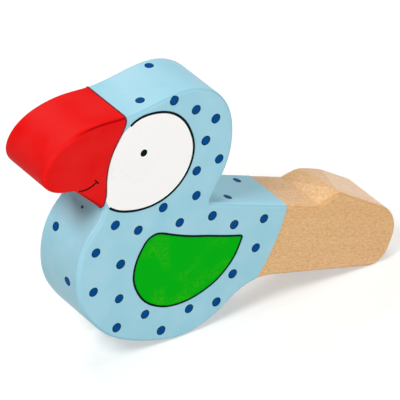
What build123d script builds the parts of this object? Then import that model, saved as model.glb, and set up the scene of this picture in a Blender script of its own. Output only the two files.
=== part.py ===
from build123d import *
import os
from math import cos, radians, sin, tan

# A painted wooden bird whistle. Its outline is sawn from one board, its edges are rounded, and a
# bore runs in from the end of the tail to a blind end in the body. A short dowel with a planed
# flat, the fipple plug, fills the mouth of the bore and leaves a windway under itself, which blows
# on the sloped lip of a window in the underside of the tail. Head and body carry a thin pale blue
# coat, the beak a red one, and the eyes, wings, mouth and dots are printed on top.
#
# Frame, in millimetres: +Z up, beak towards -X, tail towards +X. The bird's left side is -Y. The
# origin is in the middle of the box, at the height of the surface that the belly and the lower
# corner of the tail rest on.

# Sizes of the whole bird
bird_length = 115.0
bird_height = 77.0
board_thickness = 18.0
edge_radius = 1.0

# Finish
paint_thickness = 0.12
print_thickness = 0.08
eye_line_width = 0.7
wing_line_width = 0.6
side_dot_diameter = 2.75
edge_dot_diameter = 2.4
throat_dot_diameter = 0.9
pupil_diameter = 2.1
mouth_line_width = 0.35
mouth_tick_length = 1.9

# Whistle. Depths and lengths run along the bore, from the middle of its mouth.
bore_diameter = 9.0
bore_depth = 55.0
bore_slope = 13.0  # degrees that the bore climbs towards the head
plug_length = 20.0
windway_height = 1.2
window_width = 6.0
window_length = 6.0
window_reach = 10.0  # of the window's cutter, down from the middle of the bore
lip_height = 0.9  # of the lip's edge above the lowest line of the bore
lip_slope = 19.0  # degrees between the sloped lip and the bore

# Corners of the outline
neck_corner_radius = 1.0
jaw_radius = 3.0
notch_radius = 0.8
ramp_foot_radius = 1.5
crest_radius = 1.8
tail_end_radius = 9.5
tail_toe_radius = 6.0
tail_end_limit_share = 0.6  # of the tail's end edge, the most that its upper corner's radius takes
tail_toe_limit_share = 0.4  # of the same edge, the most that its lower corner's radius takes
wing_tip_radius = 0.6

# The crest of the tail is sanded to a blunt round that runs across the board from a line near the
# left side, and falls and leads towards the beak on its way to the right side.
crest_line_distance = 2.0
crest_drop = 1.85
crest_lead = 0.7
crest_round_radius = 6.0
crest_front_slope = 7.0  # degrees that the sanded face climbs to the round
crest_back_slope = 20.0  # degrees that it falls behind the round
crest_front_share = 0.87  # of the ramp's length that the sanded face takes

overrun = 5.0  # of a cutter past what it cuts
curve_steps = 40  # points by which a curve of the outline is moved outwards

# The outline, as shares of the length from the middle and of the height from the floor
head_shares = [
    (-0.011, 0.611), (0.009, 0.691), (0.0137, 0.760), (0.005, 0.853), (-0.0125, 0.9065),
    (-0.0415, 0.9535), (-0.078, 0.985), (-0.118, 0.998), (-0.189, 0.989), (-0.279, 0.972),
    (-0.339, 0.976), (-0.411, 0.963), (-0.472, 0.917), (-0.4965, 0.862), (-0.498, 0.826),
    (-0.4845, 0.789), (-0.464, 0.7665), (-0.4335, 0.7525), (-0.411, 0.745),
]
jaw_notch_share = (-0.3345, 0.634)
belly_shares = [
    (-0.3405, 0.603), (-0.358, 0.566), (-0.389, 0.495), (-0.4035, 0.381), (-0.394, 0.283),
    (-0.3615, 0.193), (-0.305, 0.1035), (-0.2365, 0.0485), (-0.168, 0.0145), (-0.111, 0.0015),
    (-0.059, 0.015), (-0.005, 0.051), (0.026, 0.083), (0.060, 0.110), (0.100, 0.1225),
    (0.158, 0.109),
]
tail_toe_share = (0.467, -0.0165)
tail_end_share = (0.519, 0.1772)
crest_share = (0.327, 0.3644)
ramp_foot_share = (0.271, 0.3344)
back_line_share = (-0.103, 0.5416)  # a place on the straight back, in line with the ramp's foot
bore_mouth_share = (0.492, 0.093)

# Where the coats end. The red one ends on the curve behind the beak and at the jaw, the blue one
# on an arc across the tail. The clear shares lie outside the bird.
beak_back_shares = [
    (-0.2835, 0.978), (-0.2825, 0.951), (-0.290, 0.921), (-0.311, 0.867), (-0.327, 0.801),
    (-0.3315, 0.734), (-0.3325, 0.683), (-0.341, 0.6495),
]
beak_clear_shares = [(-0.350, 0.635), (-0.421, 0.729), (-0.600, 0.729), (-0.600, 1.100), (-0.2835, 1.100)]
blue_end_shares = [(0.177, 0.391), (0.153, 0.280), (0.095, 0.128)]
blue_clear_shares = [(0.087, -0.100), (-0.600, -0.100), (-0.600, 1.100), (0.177, 1.100)]

# Printed figures, on both sides. The front of the eye ends at the red coat.
eye_line_shares = [
    (-0.2695, 0.932), (-0.2495, 0.949), (-0.2185, 0.954), (-0.180, 0.9435), (-0.153, 0.924),
    (-0.130, 0.8935), (-0.1065, 0.834), (-0.096, 0.767), (-0.1055, 0.694), (-0.1325, 0.6365),
    (-0.173, 0.599), (-0.2195, 0.587), (-0.2675, 0.5965), (-0.297, 0.6125), (-0.322, 0.638),
]
eye_front_shares = [(-0.344, 0.7095), (-0.3195, 0.890)]
pupil_share = (-0.2325, 0.8095)
wing_tip_share = (0.050, 0.332)
wing_top_shares = [
    (0.0335, 0.340), (0.0015, 0.3555), (-0.031, 0.373), (-0.0615, 0.389), (-0.092, 0.404),
    (-0.122, 0.422), (-0.1515, 0.442), (-0.171, 0.4565), (-0.1935, 0.465), (-0.2135, 0.4545),
    (-0.2285, 0.428), (-0.247, 0.3685),
]
wing_front_share = (-0.2515, 0.3205)
wing_belly_shares = [
    (-0.248, 0.285), (-0.239, 0.2515), (-0.2195, 0.207), (-0.191, 0.174), (-0.159, 0.153),
    (-0.123, 0.1455), (-0.087, 0.1495), (-0.053, 0.1635), (-0.0205, 0.1865), (0.007, 0.220),
    (0.0295, 0.2615), (0.0425, 0.302),
]
mouth_shares = [(-0.404, 0.7455), (-0.383, 0.7435), (-0.3575, 0.7595)]
mouth_tick_angle = -52.0  # degrees
side_dot_shares = [
    (-0.3605, 0.320), (-0.356, 0.476), (-0.305, 0.560), (-0.295, 0.139), (-0.290, 0.255),
    (-0.288, 0.394), (-0.242, 0.507), (-0.217, 0.151), (-0.171, 0.059), (-0.175, 0.563),
    (-0.153, 0.972), (-0.128, 0.478), (-0.094, 0.107), (-0.0925, 0.909), (-0.084, 0.564),
    (-0.0855, 0.664), (-0.063, 0.773), (-0.037, 0.4575), (-0.0375, 0.847), (-0.017, 0.093),
    (-0.024, 0.680), (0.0265, 0.186), (0.0255, 0.389), (0.090, 0.260), (0.110, 0.369),
]
# Dots on the rounded edge of the board: along, up, and across as a share of the thickness. Each
# lies where the outline passes that place. The one at the throat is a mere speck.
edge_dot_shares = [
    (-0.389, 0.504, 0.23), (-0.4025, 0.352, -0.245), (-0.223, 0.985, -0.28), (-0.132, 1.003, 0.33),
    (0.0305, 0.4655, -0.27), (0.121, 0.4185, 0.29), (0.007, 0.843, 0.15), (0.013, 0.723, -0.22),
    (-0.288, 0.083, -0.25), (-0.198, 0.028, 0.15), (-0.023, 0.038, 0.10), (0.047, 0.103, -0.20),
]
throat_dot_share = (-0.346, 0.594, -0.033)

bore_radius = bore_diameter / 2
inward = Vector(-cos(radians(bore_slope)), 0, sin(radians(bore_slope)))  # along the bore


def spot(shares):
    along_share, up_share = shares
    return Vector(along_share * bird_length, up_share * bird_height)


def spots(table):
    return [spot(shares) for shares in table]


def smooth_curve(points, start_run, end_run):
    """A curve through the points that sets off and ends in the given directions."""
    runs = [start_run.normalized(), end_run.normalized()]
    return Spline(points, tangents=runs, tangent_scalars=(1, 1))


def bird_outline():
    """The sawn outline with its corners rounded, drawn along and up."""
    head = Spline(spots(head_shares))
    notch = spot(jaw_notch_share)
    breast = spots(belly_shares)
    toe = spot(tail_toe_share)
    end = spot(tail_end_share)
    crest = spot(crest_share)
    ramp_foot = spot(ramp_foot_share)
    neck = IntersectingLine(head @ 0, -(head % 0), Line(ramp_foot, spot(back_line_share)))
    belly = smooth_curve(breast, breast[0] - notch, toe - breast[-1])
    bends = [head @ 1, notch, breast[0]]
    tail = [breast[-1], toe, end, crest, ramp_foot, neck @ 1, head @ 0]
    outline = make_face([head, Polyline(bends), belly, Polyline(tail)])
    end_edge_length = (end - toe).length
    corners = [
        (head @ 1, jaw_radius),
        (notch, notch_radius),
        (toe, min(tail_toe_radius, tail_toe_limit_share * end_edge_length)),
        (end, min(tail_end_radius, tail_end_limit_share * end_edge_length)),
        (crest, crest_radius),
        (ramp_foot, ramp_foot_radius),
        (neck @ 1, neck_corner_radius),
    ]
    for corner, radius in corners:
        nearest = outline.vertices().sort_by_distance(corner)[0]
        outline = fillet(nearest, radius)
    return outline


def slab(face, half_thickness):
    """A drawn face as a slab, half of its thickness on each side of the middle of the board."""
    return extrude(Plane.XZ * face, half_thickness, both=True)


def grown_outline(outline, grown):
    """The outline moved outwards. All its edges run on smoothly into each other."""
    edges = []
    for edge in outline.edges():
        shares = [step / curve_steps for step in range(curve_steps + 1)]
        moved = []
        for share in shares:
            run = edge % share
            moved.append(edge @ share + Vector(run.Y, -run.X) * grown)
        if edge.geom_type == GeomType.LINE:
            edges.append(Line(moved[0], moved[-1]))
        elif edge.geom_type == GeomType.CIRCLE:
            edges.append(ThreePointArc(moved[0], moved[curve_steps // 2], moved[-1]))
        else:
            edges.append(smooth_curve(moved, edge % 0, edge % 1))
    return make_face(edges)


def rounded_slab(outline, grown):
    """The board with rounded edges, grown on all its faces."""
    face = grown_outline(outline, grown) if grown else outline
    solid = slab(face, board_thickness / 2 + grown)
    rims = solid.faces().filter_by(Axis.Y).edges()
    return fillet(rims, edge_radius + grown)


def crest_cutter():
    """A slanting block whose underside is the blunt round of the crest."""
    crest = spot(crest_share)
    front_reach = crest_front_share * (crest.X - spot(ramp_foot_share).X)
    front = Vector(-front_reach, -front_reach * tan(radians(crest_front_slope)))
    back = Vector(board_thickness, -board_thickness * tan(radians(crest_back_slope)))
    rise = Vector(0, board_thickness)
    drawn = make_face(Polyline([front, (0, 0), back, back + rise, front + rise], close=True))
    drawn = fillet(drawn.vertices().sort_by_distance((0, 0))[0], crest_round_radius)
    start = crest_line_distance - board_thickness / 2
    place = Plane(origin=(crest.X, start, crest.Y), x_dir=(1, 0, 0), z_dir=(0, -1, 0))
    run = Vector(-crest_lead, board_thickness - crest_line_distance, -crest_drop)
    return extrude(place * drawn, 2 * board_thickness, dir=run.normalized())


def bore_plane():
    """Drawn in it, X runs into the bore and Y down from its middle line."""
    mouth = spot(bore_mouth_share)
    return Plane(origin=(mouth.X, 0, mouth.Y), x_dir=inward, z_dir=(0, -1, 0))


def bore_cylinder(start, end):
    """The part of the bore between two depths."""
    mouth = spot(bore_mouth_share)
    axis = Plane(origin=(mouth.X, 0, mouth.Y), z_dir=inward)
    return axis * Pos(0, 0, (start + end) / 2) * Cylinder(bore_radius, end - start)


def window_cutter():
    """The window in the underside: square across the windway, sloped on the side of the lip."""
    lip = plug_length + window_length
    lip_level = bore_radius - lip_height
    slope_end = lip + (window_reach - lip_level) / tan(radians(lip_slope))
    drawn = [(plug_length, 0), (lip, 0), (lip, lip_level), (slope_end, window_reach), (plug_length, window_reach)]
    return extrude(bore_plane() * make_face(Polyline(drawn, close=True)), window_width / 2, both=True)


def windway_block():
    """What the flat takes off the plug."""
    run = plug_length + overrun
    flat_level = bore_radius - windway_height
    drawn = [(-overrun, flat_level), (run, flat_level), (run, bore_diameter), (-overrun, bore_diameter)]
    return extrude(bore_plane() * make_face(Polyline(drawn, close=True)), bore_diameter, both=True)


def region(curve, clear_table):
    """A face bounded by a curve across the bird and by corners that lie outside it."""
    return make_face([curve, Polyline([curve @ 1] + spots(clear_table) + [curve @ 0])])


def eye_faces(beak_face):
    """The white of the eye, its line and its pupil."""
    curve = Spline(spots(eye_line_shares))
    front = Polyline([curve @ 1] + spots(eye_front_shares) + [curve @ 0])
    line = trace(curve, eye_line_width)
    pupil = Pos(*spot(pupil_share)) * Circle(pupil_diameter / 2)
    white = make_face([curve, front]) - beak_face - line - pupil
    return white, line, pupil


def wing_faces():
    """The green of the wing and its line."""
    tip = spot(wing_tip_share)
    front = spot(wing_front_share)
    above = [tip] + spots(wing_top_shares) + [front]
    below = [front] + spots(wing_belly_shares) + [tip]
    down = Vector(0, -1)
    top = smooth_curve(above, above[1] - tip, down)
    belly = smooth_curve(below, down, tip - below[-2])
    middle = make_face([top, belly])
    middle = fillet(middle.vertices().sort_by_distance(tip)[0], wing_tip_radius)
    green = grown_outline(middle, -wing_line_width / 2)
    return green, grown_outline(middle, wing_line_width / 2) - green


def mouth_face():
    """The line of the mouth, with a tick across its end."""
    curve = Spline(spots(mouth_shares))
    reach = Vector(mouth_tick_length / 2, 0).rotate(Axis.Z, mouth_tick_angle)
    tick = Line(curve @ 1 - reach, curve @ 1 + reach)
    return trace(curve, mouth_line_width) + trace(tick, mouth_line_width)


def dots_face():
    """All the dots of one side."""
    return Sketch() + [Pos(*place) * Circle(side_dot_diameter / 2) for place in spots(side_dot_shares)]


def edge_pin(outline, shares, diameter):
    """A pin through the edge of the board, square to the outline, where a dot is printed."""
    along_share, up_share, across_share = shares
    place = spot((along_share, up_share))
    edge = outline.edges().sort_by_distance(place)[0]
    point = edge.closest_points(Vertex(*place))[0]
    run = edge.tangent_at(edge.param_at_point(point))
    across = across_share * board_thickness
    return Plane(origin=(point.X, across, point.Y), z_dir=(run.Y, 0, -run.X)) * Cylinder(diameter / 2, overrun)


def main():
    os.makedirs("parts", exist_ok=True)
    outline = bird_outline()
    board = rounded_slab(outline, 0)
    coated = rounded_slab(outline, paint_thickness)
    coat = coated - board
    ink = rounded_slab(outline, paint_thickness + print_thickness) - coated

    sanded = board - crest_cutter()
    body = sanded - bore_cylinder(-overrun, bore_depth) - window_cutter()
    plug = (bore_cylinder(-overrun, plug_length) - windway_block()) & sanded
    export_step(body, "parts/body_block.step")
    export_step(plug, "parts/fipple_plug.step")

    beak_face = region(Spline(spots(beak_back_shares)), beak_clear_shares)
    blue_face = region(Spline(spots(blue_end_shares)), blue_clear_shares)
    beak_slab = slab(beak_face, board_thickness)
    export_step(coat & beak_slab, "parts/beak_coat.step")
    export_step((coat & slab(blue_face, board_thickness)) - beak_slab, "parts/body_coat.step")

    eye_white, eye_line, pupil = eye_faces(beak_face)
    wing, wing_line = wing_faces()
    figures = {
        "eye_white": eye_white,
        "eye_line": eye_line,
        "pupil": pupil,
        "wing": wing,
        "wing_line": wing_line,
        "mouth_line": mouth_face(),
        "side_dots": dots_face(),
    }
    for name, face in figures.items():
        left = ink & extrude(Plane.XZ * face, board_thickness)
        export_step(left, f"parts/left_{name}.step")
        export_step(mirror(left, about=Plane.XZ), f"parts/right_{name}.step")
    pins = [edge_pin(outline, shares, edge_dot_diameter) for shares in edge_dot_shares]
    pins.append(edge_pin(outline, throat_dot_share, throat_dot_diameter))
    export_step(ink & (Part() + pins), "parts/edge_dots.step")


if __name__ == "__main__":
    main()
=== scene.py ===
from math import cos, pi, radians, sin

import bmesh
import bpy
from bpy.props import FloatProperty, FloatVectorProperty, PointerProperty
from bpy.types import Operator, Panel, PropertyGroup
from mathutils import Matrix, Vector


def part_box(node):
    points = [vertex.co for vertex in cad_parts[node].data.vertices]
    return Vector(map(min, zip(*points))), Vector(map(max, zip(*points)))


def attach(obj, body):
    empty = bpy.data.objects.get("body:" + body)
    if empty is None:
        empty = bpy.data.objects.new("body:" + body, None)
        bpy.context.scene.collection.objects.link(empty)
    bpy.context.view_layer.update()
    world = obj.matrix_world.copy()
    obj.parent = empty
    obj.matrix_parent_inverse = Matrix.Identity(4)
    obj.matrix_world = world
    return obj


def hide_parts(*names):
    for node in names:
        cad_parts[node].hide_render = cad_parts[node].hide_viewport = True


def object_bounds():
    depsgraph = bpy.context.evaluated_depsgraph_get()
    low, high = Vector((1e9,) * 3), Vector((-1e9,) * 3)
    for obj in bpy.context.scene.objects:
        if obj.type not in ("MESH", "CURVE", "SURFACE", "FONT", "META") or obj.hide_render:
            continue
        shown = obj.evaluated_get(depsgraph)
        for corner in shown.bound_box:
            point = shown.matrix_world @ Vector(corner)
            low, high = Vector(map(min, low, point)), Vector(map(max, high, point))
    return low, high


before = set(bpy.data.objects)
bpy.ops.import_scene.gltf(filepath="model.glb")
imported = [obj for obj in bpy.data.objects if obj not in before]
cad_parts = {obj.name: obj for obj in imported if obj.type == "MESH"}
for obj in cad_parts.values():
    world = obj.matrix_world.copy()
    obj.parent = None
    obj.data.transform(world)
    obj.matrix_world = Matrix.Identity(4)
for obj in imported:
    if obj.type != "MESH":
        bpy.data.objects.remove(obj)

bl_info = {
    "name": "Painted bird whistle",
    "version": (1, 0, 0),
    "blender": (4, 5, 0),
    "location": "View3D > Sidebar > Bird whistle",
    "description": "Finishes, printed dots and paint seam of a painted wooden bird whistle",
    "category": "Object",
}

MM = 0.001
BODY = "root"  # nothing moves on the bird, so every piece rides on this one body
SIDES = ("left", "right")
cad_low, cad_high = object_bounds()


# Colours and sizes

def linear(hex_colour):
    """An sRGB hex colour as linear red, green and blue"""
    values = [int(hex_colour[place:place + 2], 16) / 255 for place in (1, 3, 5)]
    return tuple(v / 12.92 if v <= 0.04045 else ((v + 0.055) / 1.055) ** 2.4 for v in values)


def lighter(colour, share):
    """A colour moved that share of the way to white"""
    return tuple(part + (1 - part) * share for part in colour)


def colour_property(name, description, hex_colour):
    """A colour that the panel shows, given as sRGB hex"""
    return FloatVectorProperty(
        name=name,
        description=description,
        default=linear(hex_colour),
        size=3,
        min=0,
        max=1,
        subtype="COLOR",
    )


def length_property(name, description, default):
    """A length that the panel shows, in metres"""
    return FloatProperty(
        name=name, description=description, default=default, min=0, unit="LENGTH", precision=5
    )


class BirdWhistleSizes(PropertyGroup):
    """Sizes of what is laid on the CAD model and of the patterns in its finishes"""

    dot_rim: length_property("Dot rim", "Width of the darker rim of a dot", 0.35 * MM)
    seam_width: length_property("Seam width", "Width of the ridge round the beak", 0.55 * MM)
    fleck_pitch: length_property("Fleck pitch", "Distance between the beech's flecks", 0.6 * MM)
    fleck_length: length_property("Fleck length", "Length of a ray fleck in the beech", 1.6 * MM)


class BirdWhistleColours(PropertyGroup):
    """Colours of the wood, the coats and the printing inks"""

    beech: colour_property("Beech", "Sanded beech between its flecks", "#EEC594")
    # the dark tone of the grain, and also of the painted shade on the wood's rounded edges
    fleck_and_edge_shade: colour_property("Beech flecks", "Ray flecks of the beech", "#CA8E48")
    blue_coat: colour_property("Blue coat", "Lacquer on head and body", "#98CEDF")
    # painted shade along the rounded edges of the blue coat
    blue_edge_shade: colour_property("Blue edge", "Thin line on the blue coat's edges", "#93C6D6")
    red_coat: colour_property("Red coat", "Lacquer on the beak", "#E20C0A")
    # painted shade along the rounded edges of the red coat
    red_edge_shade: colour_property("Red edge", "Thin line on the red coat's edges", "#A30608")
    seam: colour_property("Seam", "Ridge where the red coat laps over the blue one", "#740C22")
    eye: colour_property("Eye white", "White print of the eye", "#FBF9F8")
    eye_thin: colour_property("Thin eye white", "Where that print is thin", "#F3EFEE")
    wing: colour_property("Wing green", "Green print of the wing", "#00AF10")
    wing_thin: colour_property("Thin wing green", "Where that print is thin", "#46BC14")
    line: colour_property("Line ink", "Ink of the outlines, pupils and dots' rims", "#06181B")
    line_thin: colour_property("Thin line ink", "Where that ink is thin", "#1B3338")
    mouth: colour_property("Mouth ink", "Thin ink of the mouth, over the red coat", "#160304")
    mouth_thin: colour_property("Thin mouth ink", "Where that ink is thinnest", "#3A0A0C")
    dot: colour_property("Dot ink", "Ink of the dots", "#004683")
    dot_thin: colour_property("Thin dot ink", "Where that ink is thin", "#004E96")
    floor: colour_property("Floor", "Plain floor under the bird", "#D2D2D0")


def finish_settings(context):
    """The sizes and the colours that the panel holds"""
    return context.scene.bird_whistle_sizes, context.scene.bird_whistle_colours


# Node building

def add_node(tree, kind, inputs=None, **settings):
    """Adds one node with its settings and links

    An input takes a value, an output, or a node, which stands for its first output in use. It is
    found by its name, or by its place where names repeat, among those that the settings leave open.
    """
    node = tree.nodes.new(kind)
    for name, value in settings.items():
        setattr(node, name, value)
    sockets = [socket for socket in node.inputs if socket.enabled]
    names = [socket.name for socket in sockets]
    for key, source in (inputs or {}).items():
        socket = sockets[key if isinstance(key, int) else names.index(key)]
        if isinstance(source, bpy.types.Node):
            source = next(output for output in source.outputs if output.enabled)
        if isinstance(source, bpy.types.NodeSocket):
            tree.links.new(source, socket)
        else:
            socket.default_value = (*source, 1.0) if socket.type == "RGBA" else source
    return node


def new_material(name):
    """An empty material and its node tree"""
    material = bpy.data.materials.new(name)
    material.use_nodes = True
    material.node_tree.nodes.clear()
    return material, material.node_tree


def pattern(tree, spacing, turn=(0, 0, 0), **inputs):
    """A noise on the object, whose lumps lie that far apart along X, Y and Z before it is turned"""
    place = add_node(tree, "ShaderNodeTexCoord").outputs["Object"]
    laid = add_node(
        tree,
        "ShaderNodeMapping",
        {"Vector": place, "Rotation": turn, "Scale": spacing},
        vector_type="TEXTURE",
    )
    return add_node(tree, "ShaderNodeTexNoise", {"Vector": laid, "Scale": 1, **inputs})


def tinted(tree, colour, tint, mask, low=0, high=1, share=1):
    """A colour that takes on up to that share of a tint, as the mask goes from low to high"""
    amount = add_node(
        tree,
        "ShaderNodeMapRange",
        {"Value": mask, "From Min": low, "From Max": high, "To Max": share},
    )
    return add_node(
        tree, "ShaderNodeMix", {"Factor": amount, "A": colour, "B": tint}, data_type="RGBA"
    )


EDGE_SHADE_FACINGS = (0.50, 0.65, 0.85, 0.97)  # where the painted shade line on the edges starts, is full, and ends


def painted_edge_shade(tree):
    """Mask of painted shade, 1 along the middle of the board's rounded edges and 0 elsewhere

    It is told from how far a face turns to the side of the board.
    """
    start, full, last, end = EDGE_SHADE_FACINGS
    normal = add_node(tree, "ShaderNodeNewGeometry").outputs["Normal"]
    sideways = add_node(tree, "ShaderNodeSeparateXYZ", {"Vector": normal}).outputs["Y"]
    facing = add_node(tree, "ShaderNodeMath", {0: sideways}, operation="ABSOLUTE")
    rising = add_node(
        tree, "ShaderNodeMapRange", {"Value": facing, "From Min": start, "From Max": full}
    )
    falling = add_node(
        tree, "ShaderNodeMapRange", {"Value": facing, "From Min": end, "From Max": last}
    )
    return add_node(tree, "ShaderNodeMath", {0: rising, 1: falling}, operation="MULTIPLY")


COAT_IOR = 1.5  # of clear sealer, lacquer and dried ink alike


def surface(tree, colour, height, depth, roughness, specular, **constants):
    """Ends a material with the output of a shader that is bumped to that depth"""
    bump = add_node(tree, "ShaderNodeBump", {"Height": height, "Distance": depth, "Strength": 1})
    shader = add_node(
        tree,
        "ShaderNodeBsdfPrincipled",
        {
            "Base Color": colour,
            "Roughness": roughness,
            "IOR": COAT_IOR,
            "Specular IOR Level": specular,
            "Normal": bump,
            **constants,
        },
    )
    add_node(tree, "ShaderNodeOutputMaterial", {"Surface": shader})


# Materials

GRAIN_TURN = (0, radians(20), 0)  # the grain runs down towards the end of the tail


def sanded_beech(colours, sizes):
    """Beech, sawn, sanded with fine paper and sealed with a thin clear coat.

    It shows short darker ray flecks along the grain, faint broad bands of growth and fine pores.
    The sealer leaves a soft sheen that pales the faces seen at a low angle, and the rounded edges
    get a little painted shade.
    """
    material, tree = new_material("sanded_beech")
    pitch = sizes.fleck_pitch
    flecks = pattern(
        tree, (sizes.fleck_length, pitch, pitch), GRAIN_TURN, Detail=2.0, Roughness=0.6
    )
    bands = pattern(tree, (60 * MM, 5 * MM, 5 * MM), GRAIN_TURN, Detail=1.0)
    lines = pattern(tree, (14 * MM, 0.5 * MM, 0.5 * MM), GRAIN_TURN, Detail=2.0)
    # Real pores are a tenth of this, too fine to show, so they are drawn coarser
    pores = pattern(tree, (0.9 * MM, 0.5 * MM, 0.5 * MM), GRAIN_TURN, Detail=2.0)
    darker = (  # each pattern, where it starts and is full, and how much it brings of the dark tone
        (bands, 0.35, 0.65, 0.20),
        (lines, 0.45, 0.75, 0.22),
        (pores, 0.35, 0.65, 0.44),
        (flecks, 0.50, 0.68, 0.44),
        # painted shade along the rounded edges
        (painted_edge_shade(tree), 0, 1, 0.40),
    )
    colour = colours.beech
    for mask, low, high, share in darker:
        colour = tinted(tree, colour, colours.fleck_and_edge_shade, mask, low, high, share)
    height = add_node(  # the flecks lie low
        tree,
        "ShaderNodeMapRange",
        {"Value": flecks, "From Min": 0.5, "From Max": 0.75, "To Min": 1, "To Max": 0},
    )
    surface(
        tree,
        colour,
        height,
        depth=0.004 * MM,
        roughness=0.45,
        specular=0.25,
        **{"Sheen Weight": 0.25, "Sheen Roughness": 0.4},
    )
    return material


EDGE_SHADE_END = -48 * MM  # along the bird, where the painted shade line on the beak's edges has faded out
EDGE_SHADE_FADE = 5 * MM
GLOSS_SPREAD = 0.04  # how far the roughness of a lacquer goes either way


def satin_lacquer(name, colour, cloud_colour, edge_shade_colour, roughness, specular):
    """Water-based lacquer, sprayed on primed wood and rubbed down between two coats.

    The colour is even, with a faint cloudiness, and the satin face has a slight orange peel
    through which the raised lines of the wood's grain just show. A thin line of painted shade in
    another tone runs along the middle of the rounded edges, except on the tip of the beak.
    """
    material, tree = new_material(name)
    clouds = pattern(tree, (9 * MM,) * 3, Detail=2.0)
    peel = pattern(tree, (1.3 * MM,) * 3, Detail=1.0)
    grain = pattern(tree, (16 * MM, 0.8 * MM, 0.8 * MM), GRAIN_TURN, Detail=2.0)
    thin, thick = 0.3, 0.7  # the values of the clouds between which tone and gloss change
    tone = tinted(tree, colour, cloud_colour, clouds, thin, thick)
    place = add_node(tree, "ShaderNodeTexCoord").outputs["Object"]
    along = add_node(tree, "ShaderNodeSeparateXYZ", {"Vector": place}).outputs["X"]
    reach = add_node(
        tree,
        "ShaderNodeMapRange",
        {"Value": along, "From Min": EDGE_SHADE_END, "From Max": EDGE_SHADE_END + EDGE_SHADE_FADE},
    )
    # painted shade along the rounded edges, faded out before the beak's tip
    line = add_node(tree, "ShaderNodeMath", {0: painted_edge_shade(tree), 1: reach}, operation="MULTIPLY")
    tone = tinted(tree, tone, edge_shade_colour, line)
    gloss = add_node(
        tree,
        "ShaderNodeMapRange",
        {
            "Value": clouds,
            "From Min": thin,
            "From Max": thick,
            "To Min": roughness - GLOSS_SPREAD,
            "To Max": roughness + GLOSS_SPREAD,
        },
    )
    height = add_node(tree, "ShaderNodeMath", {0: peel, 1: grain}, operation="ADD")
    surface(tree, tone, height, depth=0.012 * MM, roughness=gloss, specular=specular)
    return material


BROAD_PATCHES = 12  # the specks gather in patches that lie that many times as far apart
BROAD_TURN = (0, radians(160), 0)  # brings the wing's patches to places like the photographed ones
INK_SPECULAR = 0.02  # solvent ink dries almost without a shine


def printing_ink(name, colour, thin_colour, speck, thin_share):
    """Solvent ink, pad printed on the lacquer.

    It lies a little unevenly, so it is thin and paler in fine specks, with more of them in some
    places than in others. Real specks are too fine to show, so they are drawn coarser.
    """
    material, tree = new_material(name)
    specks = pattern(tree, (speck,) * 3, Detail=3.0, Roughness=0.6)
    broad = pattern(tree, (BROAD_PATCHES * speck,) * 3, BROAD_TURN, Detail=1.0)
    fine = add_node(
        tree,
        "ShaderNodeMapRange",
        {"Value": specks, "From Min": 0.4, "From Max": 0.7, "To Max": thin_share},
    )
    gathered = add_node(
        tree, "ShaderNodeMapRange", {"Value": broad, "From Min": 0.5, "From Max": 0.7}
    )
    thin = add_node(tree, "ShaderNodeMath", {0: fine, 1: gathered}, operation="MULTIPLY")
    tone = tinted(tree, colour, thin_colour, thin)
    surface(tree, tone, specks, depth=0.01 * MM, roughness=0.42, specular=INK_SPECULAR)
    return material


DOT_RADIUS = 1.3 * MM  # of the printed dots, which the width of their rim is a share of


def dot_ink(colours, sizes):
    """Solvent ink, printed as thick dots that dry to a darker rim.

    The rim is nearly black, and the middle a clear navy that is a little mottled.
    """
    material, tree = new_material("dot_ink")
    across = add_node(tree, "ShaderNodeAttribute", attribute_name="across").outputs["Fac"]
    mottle = pattern(tree, (0.9 * MM,) * 3, Detail=2.0)
    tone = tinted(tree, colours.dot, colours.dot_thin, mottle, 0.35, 0.7)
    tone = tinted(tree, tone, colours.line, across, low=1 - sizes.dot_rim / DOT_RADIUS)
    surface(tree, tone, mottle, depth=0.006 * MM, roughness=0.35, specular=INK_SPECULAR)
    return material


def seam_paint(colours):
    """Water-based lacquer that has run to a ridge along the edge of the masking.

    Blue shows through the red there, so the ridge is a dull dark maroon.
    """
    material, tree = new_material("seam_paint")
    mottle = pattern(tree, (0.8 * MM,) * 3, Detail=2.0)
    tone = tinted(tree, colours.seam, lighter(colours.seam, 0.03), mottle, 0.35, 0.7)
    surface(tree, tone, mottle, depth=0.01 * MM, roughness=0.45, specular=0.08)
    return material


def set_finish(node, material):
    """Gives a CAD node its finish"""
    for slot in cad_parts[node].material_slots:
        slot.material = material


# Geometry trees

def new_tree(name, inputs):
    """A geometry tree whose inputs are a mesh and these values, named with their kinds"""
    tree = bpy.data.node_groups.new(name, "GeometryNodeTree")
    tree.interface.new_socket("Geometry", in_out="OUTPUT", socket_type="NodeSocketGeometry")
    for label, kind in {"Geometry": "Geometry", **inputs}.items():
        tree.interface.new_socket(label, in_out="INPUT", socket_type=f"NodeSocket{kind}")
    return tree, add_node(tree, "NodeGroupInput").outputs


def close_tree(tree, geometry, material):
    """Ends a tree with real geometry in one material"""
    real = add_node(tree, "GeometryNodeRealizeInstances", {"Geometry": geometry})
    smooth = add_node(tree, "GeometryNodeSetShadeSmooth", {"Geometry": real})
    done = add_node(tree, "GeometryNodeSetMaterial", {"Geometry": smooth, "Material": material})
    add_node(tree, "NodeGroupOutput", {"Geometry": done})


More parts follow.
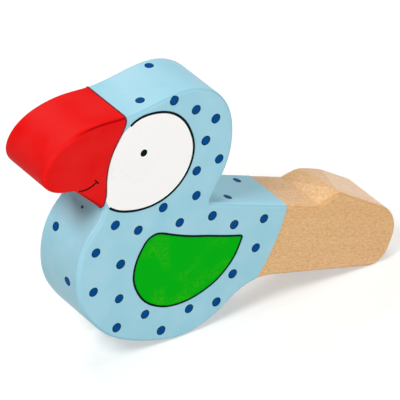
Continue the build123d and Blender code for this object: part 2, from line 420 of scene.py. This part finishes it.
def run_tree(context, tree, mesh, name, values):
    """Runs a tree on a mesh and returns the result as a plain object with no modifier"""
    holder = bpy.data.objects.new(f"{name}_source", mesh)
    context.scene.collection.objects.link(holder)
    modifier = holder.modifiers.new(name, "NODES")
    modifier.node_group = tree
    for item in tree.interface.items_tree:
        if item.in_out == "INPUT" and item.name in values:
            modifier[item.identifier] = values[item.name]
    graph = context.evaluated_depsgraph_get()
    made = bpy.data.meshes.new_from_object(
        holder.evaluated_get(graph), preserve_all_data_layers=True, depsgraph=graph
    )
    bpy.data.objects.remove(holder)
    if not made.polygons:
        raise RuntimeError(f"{name} came out empty")
    made.name = name
    piece = bpy.data.objects.new(name, made)
    context.scene.collection.objects.link(piece)
    return piece


WELD_GAP = 0.002 * MM  # corners of a CAD mesh that are nearer than this are one corner


def merged_copy(node):
    """A copy of a CAD node's mesh with its corners merged, as a bmesh"""
    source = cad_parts[node]
    copy = bmesh.new()
    copy.from_mesh(source.data)
    copy.transform(source.matrix_world)
    bmesh.ops.remove_doubles(copy, verts=copy.verts, dist=WELD_GAP)
    copy.verts.index_update()
    copy.normal_update()
    return copy


def groups(items, neighbours):
    """Splits corners or edges into groups that hang together, always in the same order"""
    waiting = dict.fromkeys(items)
    found = []
    while waiting:
        front = [next(iter(waiting))]
        del waiting[front[0]]
        group = []
        while front:
            item = front.pop()
            group.append(item)
            for other in neighbours(item):
                if other in waiting:
                    del waiting[other]
                    front.append(other)
        found.append(group)
    return found


# Printed dots

SEED = 7  # of the small differences between the dots
DOT_WOBBLE = (0.97, 1.03)  # the smallest and largest dots, as shares of the drawn size
DOT_CORNERS = 40
DOT_RINGS = 6  # from the middle to the rim
DOT_EDGE_SHARE = 0.35  # how high a dot is at its edge, as a share of its middle
DOT_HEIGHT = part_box("left_wing")[1].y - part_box("left_wing")[0].y  # as thick as the other prints
DOT_SINK = (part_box("body_coat")[1].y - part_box("body_block")[1].y) / 2  # half the coat's thickness
LANDING_LIFT = 2 * MM  # how far over the ground a dot starts on its way down


def dot_places(node):
    """One point in the middle of each dot of a CAD node, with the dot's radius

    A dot that runs over the rounded edge is as wide as the others.
    """
    copy = merged_copy(node)
    middles, radii = [], []
    for corners in groups(
        copy.verts, lambda corner: [edge.other_vert(corner) for edge in corner.link_edges]
    ):
        middle = sum((corner.co for corner in corners), Vector()) / len(corners)
        middles.append(middle)
        radii.append(max((corner.co - middle).length for corner in corners))
    copy.free()
    usual = sorted(radii)[len(radii) // 2]
    mesh = bpy.data.meshes.new(f"{node}_places")
    mesh.from_pydata([tuple(middle) for middle in middles], [], [])
    attribute = mesh.attributes.new("radius", "FLOAT", "POINT")
    attribute.data.foreach_set("value", [min(radius, usual) for radius in radii])
    return mesh


def ink_disc(tree, place, height, sink):
    """A flat disc, 1 in radius, whose corners remember how far out and how high they belong"""
    disc = add_node(
        tree,
        "GeometryNodeMeshCylinder",
        {"Vertices": DOT_CORNERS, "Fill Segments": DOT_RINGS, "Radius": 1, "Depth": 1},
        fill_type="TRIANGLE_FAN",
    )
    flat = add_node(tree, "ShaderNodeVectorMath", {0: place, 1: (1, 1, 0)}, operation="MULTIPLY")
    across = add_node(tree, "ShaderNodeVectorMath", {0: flat}, operation="LENGTH")
    square = add_node(tree, "ShaderNodeMath", {0: across, 1: across}, operation="MULTIPLY")
    left = add_node(tree, "ShaderNodeMath", {0: 1, 1: square}, operation="SUBTRACT")
    curve = add_node(tree, "ShaderNodeMath", {0: left}, operation="SQRT")
    dome = add_node(tree, "ShaderNodeMapRange", {"Value": curve, "To Min": DOT_EDGE_SHARE})
    top = add_node(tree, "ShaderNodeMath", {0: dome, 1: height}, operation="MULTIPLY")
    bottom = add_node(tree, "ShaderNodeMath", {0: 0, 1: sink}, operation="SUBTRACT")
    level = add_node(tree, "ShaderNodeSeparateXYZ", {"Vector": place}).outputs["Z"]
    is_top = add_node(tree, "ShaderNodeMath", {0: level, 1: 0}, operation="GREATER_THAN")
    rise = add_node(
        tree,
        "GeometryNodeSwitch",
        {"Switch": is_top, "False": bottom, "True": top},
        input_type="FLOAT",
    )
    for name, value in (("across", across), ("rise", rise)):
        disc = add_node(
            tree,
            "GeometryNodeStoreNamedAttribute",
            {"Geometry": disc, "Name": name, "Value": value},
            data_type="FLOAT",
            domain="POINT",
        )
    return add_node(tree, "GeometryNodeSetPosition", {"Geometry": disc, "Position": flat})


def dot_tree():
    """Lays a thin domed disc of ink on the ground under each point, bent to the ground's form"""
    tree, given = new_tree(
        "printed_dots",
        {
            "Height": "Float",
            "Sink": "Float",
            "Lift": "Float",
            "Ground": "Object",
            "Ink": "Material",
            "Seed": "Int",
        },
    )
    ground = add_node(
        tree, "GeometryNodeObjectInfo", {"Object": given["Ground"]}, transform_space="RELATIVE"
    ).outputs["Geometry"]

    # Each point remembers which way the ground faces there
    nearest = add_node(
        tree,
        "GeometryNodeSampleNearestSurface",
        {"Mesh": ground, "Value": add_node(tree, "GeometryNodeInputNormal")},
        data_type="FLOAT_VECTOR",
    )
    points = add_node(
        tree,
        "GeometryNodeStoreNamedAttribute",
        {"Geometry": given["Geometry"], "Name": "facing", "Value": nearest},
        data_type="FLOAT_VECTOR",
        domain="POINT",
    )

    # One disc on each point, turned to face as the ground does and as large as the CAD dot
    place = add_node(tree, "GeometryNodeInputPosition")
    disc = ink_disc(tree, place, given["Height"], given["Sink"])
    facing = add_node(
        tree, "GeometryNodeInputNamedAttribute", {"Name": "facing"}, data_type="FLOAT_VECTOR"
    )
    radius = add_node(
        tree, "GeometryNodeInputNamedAttribute", {"Name": "radius"}, data_type="FLOAT"
    )
    smallest, largest = DOT_WOBBLE
    wobble = add_node(
        tree,
        "FunctionNodeRandomValue",
        {"Min": smallest, "Max": largest, "Seed": given["Seed"]},
        data_type="FLOAT",
    )
    size = add_node(tree, "ShaderNodeMath", {0: radius, 1: wobble}, operation="MULTIPLY")
    turned = add_node(tree, "FunctionNodeAlignRotationToVector", {"Vector": facing}, axis="Z")
    copies = add_node(
        tree,
        "GeometryNodeInstanceOnPoints",
        {"Points": points, "Instance": disc, "Rotation": turned, "Scale": size},
    )
    real = add_node(tree, "GeometryNodeRealizeInstances", {"Geometry": copies})

    # Each corner drops on the ground and stands over it by its own height
    lift = given["Lift"]
    start = add_node(
        tree, "ShaderNodeVectorMath", {0: facing, 1: lift, 2: place}, operation="MULTIPLY_ADD"
    )
    down = add_node(
        tree, "ShaderNodeVectorMath", {"Vector": facing, "Scale": -1}, operation="SCALE"
    )
    ray = add_node(
        tree,
        "GeometryNodeRaycast",
        {
            "Target Geometry": ground,
            "Source Position": start,
            "Ray Direction": down,
            "Ray Length": add_node(tree, "ShaderNodeMath", {0: lift, 1: lift}, operation="ADD"),
        },
    )
    rise = add_node(tree, "GeometryNodeInputNamedAttribute", {"Name": "rise"}, data_type="FLOAT")
    landed = add_node(
        tree,
        "ShaderNodeVectorMath",
        {0: facing, 1: rise, 2: ray.outputs["Hit Position"]},
        operation="MULTIPLY_ADD",
    )
    laid = add_node(
        tree,
        "GeometryNodeSetPosition",
        {"Geometry": real, "Selection": ray.outputs["Is Hit"], "Position": landed},
    )
    close_tree(tree, laid, given["Ink"])
    return tree


# Seam round the beak

SEAM_ANGLE = radians(50)  # edges of the red coat that are sharper than this are its rims
SEAM_SINK = 1 / 6  # how deep the ridge's middle lies in the coat, as a share of its width
SEAM_STEP = 0.5 * MM  # distance between two rings of the ridge
SEAM_CORNERS = 8  # of each of those rings


def seam_path(width):
    """The outer rim of the red coat where it ends on the other coats, a little sunk into it"""
    copy = merged_copy("beak_coat")
    sharp = []
    for edge in copy.edges:
        if len(edge.link_faces) == 2 and edge.calc_face_angle() > SEAM_ANGLE:
            sharp.append(edge)
    loops = groups(
        sharp, lambda edge: [other for corner in edge.verts for other in corner.link_edges]
    )
    outer = max(loops, key=lambda loop: sum(edge.calc_length() for edge in loop))
    corners = sorted(
        {corner for edge in outer for corner in edge.verts}, key=lambda corner: corner.index
    )
    number = {corner: place for place, corner in enumerate(corners)}
    places = []
    for corner in corners:
        outside = max(corner.link_faces, key=lambda face: face.calc_area())
        places.append(tuple(corner.co - outside.normal * width * SEAM_SINK))
    links = [(number[edge.verts[0]], number[edge.verts[1]]) for edge in outer]
    copy.free()
    mesh = bpy.data.meshes.new("seam_path")
    mesh.from_pydata(places, links, [])
    return mesh


def seam_tree():
    """Runs a thin round ridge of paint along the edges of a mesh"""
    tree, given = new_tree("paint_seam", {"Width": "Float", "Step": "Float", "Paint": "Material"})
    line = add_node(tree, "GeometryNodeMeshToCurve", {"Mesh": given["Geometry"]})
    line = add_node(
        tree, "GeometryNodeResampleCurve", {"Curve": line, "Length": given["Step"]}, mode="LENGTH"
    )
    radius = add_node(tree, "ShaderNodeMath", {0: given["Width"], 1: 2}, operation="DIVIDE")
    ring = add_node(
        tree, "GeometryNodeCurvePrimitiveCircle", {"Resolution": SEAM_CORNERS, "Radius": radius}
    )
    ridge = add_node(tree, "GeometryNodeCurveToMesh", {"Curve": line, "Profile Curve": ring})
    close_tree(tree, ridge, given["Paint"])
    return tree


# Operators

class BIRDWHISTLE_OT_wood(Operator):
    """Finishes the board and the fipple plug as sanded beech"""

    bl_idname = "bird_whistle.wood"
    bl_label = "Board and fipple plug"

    def execute(self, context):
        sizes, colours = finish_settings(context)
        beech = sanded_beech(colours, sizes)
        for node in ("body_block", "fipple_plug"):
            set_finish(node, beech)
        return {"FINISHED"}


class BIRDWHISTLE_OT_coats(Operator):
    """Lacquers head and body pale blue and the beak red"""

    bl_idname = "bird_whistle.coats"
    bl_label = "Blue and red coats"

    def execute(self, context):
        _, colours = finish_settings(context)
        blue = satin_lacquer(
            "blue_lacquer",
            colours.blue_coat,
            lighter(colours.blue_coat, 0.10),
            colours.blue_edge_shade,
            roughness=0.42,
            specular=0.16,
        )
        red = satin_lacquer(
            "red_lacquer",
            colours.red_coat,
            lighter(colours.red_coat, 0.01),
            colours.red_edge_shade,
            roughness=0.5,
            specular=0.04,
        )
        set_finish("body_coat", blue)
        set_finish("beak_coat", red)
        return {"FINISHED"}


class BIRDWHISTLE_OT_seam(Operator):
    """Lays the thin dark ridge where the red coat ends on the blue one"""

    bl_idname = "bird_whistle.seam"
    bl_label = "Seam round the beak"

    def execute(self, context):
        sizes, colours = finish_settings(context)
        values = {"Width": sizes.seam_width, "Step": SEAM_STEP, "Paint": seam_paint(colours)}
        seam = run_tree(context, seam_tree(), seam_path(sizes.seam_width), "beak_seam", values)
        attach(seam, BODY)
        return {"FINISHED"}


class BIRDWHISTLE_OT_figures(Operator):
    """Prints eyes, wings and mouth on both sides"""

    bl_idname = "bird_whistle.figures"
    bl_label = "Eyes, wings and mouth"

    def execute(self, context):
        _, colours = finish_settings(context)
        white = printing_ink(
            "white_ink", colours.eye, colours.eye_thin, speck=1.2 * MM, thin_share=0.8
        )
        green = printing_ink(
            "green_ink", colours.wing, colours.wing_thin, speck=0.9 * MM, thin_share=0.9
        )
        black = printing_ink(
            "line_ink", colours.line, colours.line_thin, speck=0.5 * MM, thin_share=0.5
        )
        mouth = printing_ink(
            "mouth_ink", colours.mouth, colours.mouth_thin, speck=0.5 * MM, thin_share=0.5
        )
        inks = {
            "eye_white": white,
            "eye_line": black,
            "pupil": black,
            "wing": green,
            "wing_line": black,
            "mouth_line": mouth,
        }
        for side in SIDES:
            for figure, ink in inks.items():
                set_finish(f"{side}_{figure}", ink)
        return {"FINISHED"}


class BIRDWHISTLE_OT_dots(Operator):
    """Prints the dark blue dots on both sides and on the rounded edge"""

    bl_idname = "bird_whistle.dots"
    bl_label = "Printed dots"

    def execute(self, context):
        sizes, colours = finish_settings(context)
        values = {
            "Height": DOT_HEIGHT,
            "Sink": DOT_SINK,
            "Lift": LANDING_LIFT,
            "Ground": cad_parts["body_coat"],
            "Ink": dot_ink(colours, sizes),
            "Seed": SEED,
        }
        tree = dot_tree()
        for node in ("left_side_dots", "right_side_dots", "edge_dots"):
            dots = run_tree(context, tree, dot_places(node), f"printed_{node}", values)
            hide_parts(node)
            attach(dots, BODY)
        return {"FINISHED"}


# Stage

LOOK_AT = Vector((-1.80, 0.03, 34.29)) * MM  # what the camera and the lamps are turned to
CAMERA_AZIMUTH = radians(-36.01)
CAMERA_ELEVATION = radians(32.95)
CAMERA_ROLL = radians(1.99)
CAMERA_DISTANCE = 1.1847
CLIP_START = 0.01
FRAME_PIXELS = 400  # the photograph's width
FOCAL_PIXELS = 4500  # the lens in such pixels
SENSOR_WIDTH = 36.0

STUDIO_LEVEL = 0.06  # how strongly the white studio lights the bird
LAMP_DISTANCE = 0.8
LAMP_WIDTH = 0.25
LAMPS = {  # azimuth, elevation, and how bright the lamp makes a white face that is square to it
    "beak_lamp": (-71, 49, 0.69),
    "side_lamp": (0, 15, 0.45),
    "tail_lamp": (90, 30, 0.26),
    "rear_lamp": (180, 45, 0.38),
}

FLOOR_HALF = 2.0
FLOOR_GLOW = 0.42  # of the floor under the bird, as the camera sees it
GLOW_START = 0.2  # metres from the bird at which the glow starts to rise
GLOW_END = 0.8


def direction(azimuth, elevation):
    """Unit vector from the bird to a place round it. Azimuth 0 is in front of the left side."""
    return Vector((sin(azimuth) * cos(elevation), -cos(azimuth) * cos(elevation), sin(elevation)))


def add_camera(context):
    """The camera at the photographed angle"""
    back = direction(CAMERA_AZIMUTH, CAMERA_ELEVATION)
    right = Vector((cos(CAMERA_AZIMUTH), sin(CAMERA_AZIMUTH), 0))
    up = back.cross(right)
    rolled_right = cos(CAMERA_ROLL) * right + sin(CAMERA_ROLL) * up
    rolled_up = cos(CAMERA_ROLL) * up - sin(CAMERA_ROLL) * right
    lens = bpy.data.cameras.new("camera")
    lens.sensor_width = SENSOR_WIDTH
    lens.lens = FOCAL_PIXELS / FRAME_PIXELS * SENSOR_WIDTH
    lens.clip_start = CLIP_START
    camera = bpy.data.objects.new("camera", lens)
    turn = Matrix((rolled_right, rolled_up, back)).transposed()
    camera.matrix_world = Matrix.Translation(LOOK_AT + CAMERA_DISTANCE * back) @ turn.to_4x4()
    context.scene.collection.objects.link(camera)
    context.scene.camera = camera


def add_lamp(context, name, azimuth, elevation, level):
    """A soft square lamp. level is how bright it makes a white face that is square to it."""
    light = bpy.data.lights.new(name, "AREA")
    light.size = LAMP_WIDTH
    light.energy = level * (pi * LAMP_DISTANCE) ** 2
    lamp = bpy.data.objects.new(name, light)
    back = direction(azimuth, elevation)
    lamp.location = LOOK_AT + LAMP_DISTANCE * back
    lamp.rotation_euler = back.to_track_quat("Z", "Y").to_euler()
    context.scene.collection.objects.link(lamp)


def seen_directly(tree):
    """1 for a ray that the camera, a reflection or a clear body sends, and 0 for the light's own"""
    rays = add_node(tree, "ShaderNodeLightPath").outputs
    total = rays["Is Camera Ray"]
    for kind in ("Is Glossy Ray", "Is Transmission Ray"):
        total = add_node(
            tree, "ShaderNodeMath", {0: total, 1: rays[kind]}, operation="ADD", use_clamp=True
        )
    return total


def light_world(context):
    """A white studio all round, which lights the bird only faintly"""
    world = bpy.data.worlds.new("studio")
    world.use_nodes = True
    tree = world.node_tree
    tree.nodes.clear()
    strength = add_node(
        tree, "ShaderNodeMapRange", {"Value": seen_directly(tree), "To Min": STUDIO_LEVEL}
    )
    studio = add_node(tree, "ShaderNodeBackground", {"Color": (1, 1, 1), "Strength": strength})
    add_node(tree, "ShaderNodeOutputWorld", {"Surface": studio})
    context.scene.world = world


def floor_paper(colours):
    """Pale seamless paper, matt and very slightly fibrous, that takes a soft shadow.

    Its glow reaches only rays that see the floor directly, so it adds no light to the bird. It
    rises to full white away from the bird, where the lamps no longer reach.
    """
    material, tree = new_material("pale_paper")
    # Real fibres are too fine to show, so they are drawn coarser
    fibres = pattern(tree, (2 * MM,) * 3, Detail=2.0)
    tone = tinted(tree, colours.floor, lighter(colours.floor, 0.06), fibres)
    paper = add_node(tree, "ShaderNodeBsdfDiffuse", {"Color": tone})
    place = add_node(tree, "ShaderNodeTexCoord").outputs["Object"]
    away = add_node(tree, "ShaderNodeVectorMath", {0: place}, operation="LENGTH")
    level = add_node(
        tree,
        "ShaderNodeMapRange",
        {"Value": away, "From Min": GLOW_START, "From Max": GLOW_END, "To Min": FLOOR_GLOW},
    )
    strength = add_node(
        tree, "ShaderNodeMath", {0: seen_directly(tree), 1: level}, operation="MULTIPLY"
    )
    shine = add_node(tree, "ShaderNodeEmission", {"Color": (1, 1, 1), "Strength": strength})
    both = add_node(tree, "ShaderNodeAddShader", {0: paper, 1: shine})
    add_node(tree, "ShaderNodeOutputMaterial", {"Surface": both})
    return material


class BIRDWHISTLE_OT_stage(Operator):
    """Lays a plain pale floor, lights the bird softly and places the camera"""

    bl_idname = "bird_whistle.stage"
    bl_label = "Floor, lamps and camera"

    def execute(self, context):
        _, colours = finish_settings(context)
        mesh = bpy.data.meshes.new("floor")
        corners = []
        for along, across in ((-1, -1), (1, -1), (1, 1), (-1, 1)):
            corners.append((along * FLOOR_HALF, across * FLOOR_HALF, cad_low.z))
        mesh.from_pydata(corners, [], [(0, 1, 2, 3)])
        mesh.materials.append(floor_paper(colours))
        floor = bpy.data.objects.new("floor", mesh)
        context.scene.collection.objects.link(floor)
        light_world(context)
        for name, (azimuth, elevation, level) in LAMPS.items():
            add_lamp(context, name, radians(azimuth), radians(elevation), level)
        add_camera(context)
        context.scene.view_settings.view_transform = "Standard"
        return {"FINISHED"}


OPERATORS = (
    BIRDWHISTLE_OT_stage,
    BIRDWHISTLE_OT_wood,
    BIRDWHISTLE_OT_coats,
    BIRDWHISTLE_OT_seam,
    BIRDWHISTLE_OT_figures,
    BIRDWHISTLE_OT_dots,
)


class BIRDWHISTLE_PT_panel(Panel):
    """Lists the bird whistle's sizes, colours and pieces"""

    bl_idname = "BIRDWHISTLE_PT_panel"
    bl_label = "Bird whistle"
    bl_space_type = "VIEW_3D"
    bl_region_type = "UI"
    bl_category = "Bird whistle"

    def draw(self, context):
        for settings in finish_settings(context):
            for name in settings.bl_rna.properties.keys():
                if name not in ("rna_type", "name"):
                    self.layout.prop(settings, name)
        for operator in OPERATORS:
            self.layout.operator(operator.bl_idname)


CLASSES = (BirdWhistleSizes, BirdWhistleColours, *OPERATORS, BIRDWHISTLE_PT_panel)


def register():
    """Makes the panel, its settings and the operators known to Blender"""
    for item in CLASSES:
        bpy.utils.register_class(item)
    bpy.types.Scene.bird_whistle_sizes = PointerProperty(type=BirdWhistleSizes)
    bpy.types.Scene.bird_whistle_colours = PointerProperty(type=BirdWhistleColours)


def unregister():
    """Takes back what register has done"""
    del bpy.types.Scene.bird_whistle_colours
    del bpy.types.Scene.bird_whistle_sizes
    for item in reversed(CLASSES):
        bpy.utils.unregister_class(item)


def main():
    """Builds the stage and dresses the bird"""
    register()
    bpy.ops.bird_whistle.stage()
    bpy.ops.bird_whistle.wood()
    bpy.ops.bird_whistle.coats()
    bpy.ops.bird_whistle.seam()
    bpy.ops.bird_whistle.figures()
    bpy.ops.bird_whistle.dots()


if __name__ == "__main__":
    main()
